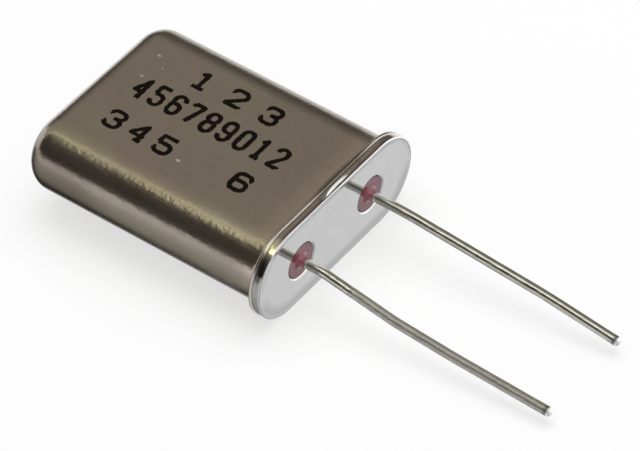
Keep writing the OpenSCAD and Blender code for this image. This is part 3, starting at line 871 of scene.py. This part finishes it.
# A tent over the can: dim at the back, a warm strip light just past overhead that swings back
# towards the closed end, and black down the near side
card("card_tent", ((-1.5, 1), (-0.2215, 1), (-0.21, 0), (0.09, 0)), (
    (-91, (0.3, 0.28, 0.26), 0, -0.6),
    (-86, (0.12, 0.108, 0.095)),
    (-78, (0.12, 0.105, 0.09)),
    (-68, (0.19, 0.17, 0.15)),
    (-58, (0.28, 0.25, 0.22)),
    (-46, (0.4, 0.355, 0.31)),
    (-38, (0.45, 0.4, 0.35)),
    (-12, (0.49, 0.44, 0.37)),
    (2, (0.52, 0.48, 0.37)),
    (10, (0.56, 0.52, 0.4), -7, 0),
    (18, (1.65, 1.58, 1.1), -11, -0.4),
    (24, (3.0, 2.92, 1.9), -13, -0.3),
    (27, (0.55, 0.52, 0.38), -16, -0.3),
    (33, (0.17, 0.155, 0.13), -20, 0),
    (46, (0.08, 0.07, 0.06), -18, 0),
    (79, (0.07, 0.06, 0.06)),
    (88, (1.1, 1.07, 1.02)),
    (91, (1.15, 1.12, 1.06)),
))
# The same light over the leads, wider there, black past it, and an even table under them
card("card_leads", ((-0.165, 0), (0.105, 0)), (
    (-92, 0.3),
    (-84, (0.16, 0.16, 0.15)),
    (-38, (0.28, 0.27, 0.23)),
    (-12, (0.36, 0.35, 0.29)),
    (-4, (0.8, 0.78, 0.7)),
    (5, (1.75, 1.73, 1.55)),
    (24, (1.75, 1.73, 1.55)),
    (29, (0.5, 0.48, 0.4)),
    (36, (0.1, 0.095, 0.08)),
    (68, (0.07, 0.065, 0.06)),
    (80, (0.6, 0.59, 0.58)),
    (92, (0.95, 0.94, 0.94)),
    (130, (0.95, 0.94, 0.94)),
    (160, 1.0),
    (200, 0.9),
), 0.44)
# A wall in front of the plate, white at the back, grey overhead and nearly black on the near side.
# Beyond it the strip light goes on, between more white and black
card("card_front", ((0.12, 0), (0.4, 0)), (
    (-91, 1.6),
    (-60, 1.6),
    (-34, 1.1),
    (-8, (0.68, 0.68, 0.66)),
    (18, (0.46, 0.46, 0.44)),
    (36, (0.1, 0.11, 0.105)),
    (58, (0.12, 0.13, 0.125)),
    (74, (0.3, 0.31, 0.3)),
    (91, 0.42),
))
card("card_far", ((0.4, 0), (1.5, 0)), (
    (-91, 1.3),
    (-20, 1.3),
    (-4, (1.6, 1.55, 1.2)),
    (8, (3.0, 2.85, 1.8)),
    (22, (3.0, 2.85, 1.8)),
    (28, (0.6, 0.52, 0.28)),
    (34, (0.07, 0.05, 0.045)),
    (42, (0.025, 0.013, 0.017)),
    (84, (0.025, 0.013, 0.017)),
    (90, (0.5, 0.48, 0.5)),
    (91, 0.6),
))
# The table as reflections see it: grey, and black under the near side, a painted shadow. Beyond the
# closed end it is brighter, with a dark far edge. In front of the plate a dark line parts grey from white
card("card_table", ((-1.5, 1), (-0.5, 1), (-0.35, 0), (0.05, 0)), (
    (90, (1.15, 1.15, 1.17)),
    (98, (1.05, 1.04, 1.04)),
    (106, (0.82, 0.81, 0.79)),
    (118, (0.62, 0.61, 0.58)),
    (132, (0.52, 0.51, 0.47)),
    (148, (0.4, 0.39, 0.34)),
    (160, (0.2, 0.19, 0.16)),
    (170, (0.03, 0.027, 0.025)),
    (186, (0.03, 0.027, 0.025)),
    (200, (0.72, 0.72, 0.73)),
    (222, (0.75, 0.75, 0.76)),
    (240, 1.0, 0, 0.3),
    (252, 1.05, -4, 0.25),
    (262, 0.8, -6, -0.7),
    (270, (0.4, 0.39, 0.38), 0, -0.7),
))
card("card_table_front", ((0.05, 0), (1.5, 0)), (
    (90, 0.45),
    (120, 0.55),
    (142, 0.62),
    (158, 0.42),
    (184, 0.42),
    (204, (0.56, 0.56, 0.57)),
    (213, (0.78, 0.78, 0.8)),
    (222, (0.81, 0.81, 0.83)),
    (224, (0.5, 0.5, 0.51)),
    (228, (0.5, 0.5, 0.51)),
    (230, 1.35),
    (270, 1.35),
))
# A narrow grey card by the near side, which only the rim's round end and the flange's edge see
card("card_rim", ((-0.2112, 0), (-0.19, 0)), (
    (86, 0.3),
    (102, (0.42, 0.42, 0.41)),
    (142, (0.37, 0.37, 0.36)),
    (162, (0.34, 0.34, 0.33)),
    (182, 0.24),
    (200, 0.42),
), 0.44)
# A grey card that only reflections see, like a block on the table: a painted dark reflection, a fine
# line inside the plate's bright edge
card("card_block", ((-0.02, 0), (0.075, 0)), (
    (205, (0.6, 0.63, 0.63)),
    (210, (0.16, 0.17, 0.17)),
    (217.5, (0.16, 0.17, 0.17)),
    (224.5, (0.42, 0.44, 0.44)),
    (227, 0.9),
), 0.43)

world = bpy.data.worlds.new("studio")
world.use_nodes = True
world.node_tree.nodes.clear()
bpy.context.scene.world = world
room = add(world.node_tree, "ShaderNodeBackground", {"Color": (1, 1, 1, 1), "Strength": 0.45})
add(world.node_tree, "ShaderNodeOutputWorld", {"Surface": seen_white(world.node_tree, room, 0.55, 0.55)})

lamp = bpy.data.lights.new("softbox", "AREA")
lamp.shape = "RECTANGLE"
lamp.size, lamp.size_y = 0.5, 0.4
lamp.energy = 1.35
softbox = bpy.data.objects.new("softbox", lamp)
softbox.location = (-0.06, 0.08, 0.45)
softbox.rotation_euler = (Vector((0, 0, 0)) - softbox.location).to_track_quat("-Z", "Y").to_euler()
softbox.visible_glossy = False
bpy.context.scene.collection.objects.link(softbox)

# The camera looks down on the broad face and the base, from the side of the left lead
aim = Vector((-0.63, -0.32, 0)) * mm
away, round_z, above = 180.8 * mm, math.radians(36.47), math.radians(45.43)
eye = bpy.data.cameras.new("camera")
eye.lens, eye.sensor_width = 241.5, 36
eye.clip_start = 10 * mm
camera = bpy.data.objects.new("camera", eye)
toward = Vector((math.sin(round_z) * math.cos(above), -math.cos(round_z) * math.cos(above), math.sin(above)))
camera.location = aim + away * toward
camera.rotation_euler = (-toward).to_track_quat("-Z", "Y").to_euler()
bpy.context.scene.collection.objects.link(camera)
bpy.context.scene.camera = camera
bpy.context.scene.view_settings.view_transform = "Standard"
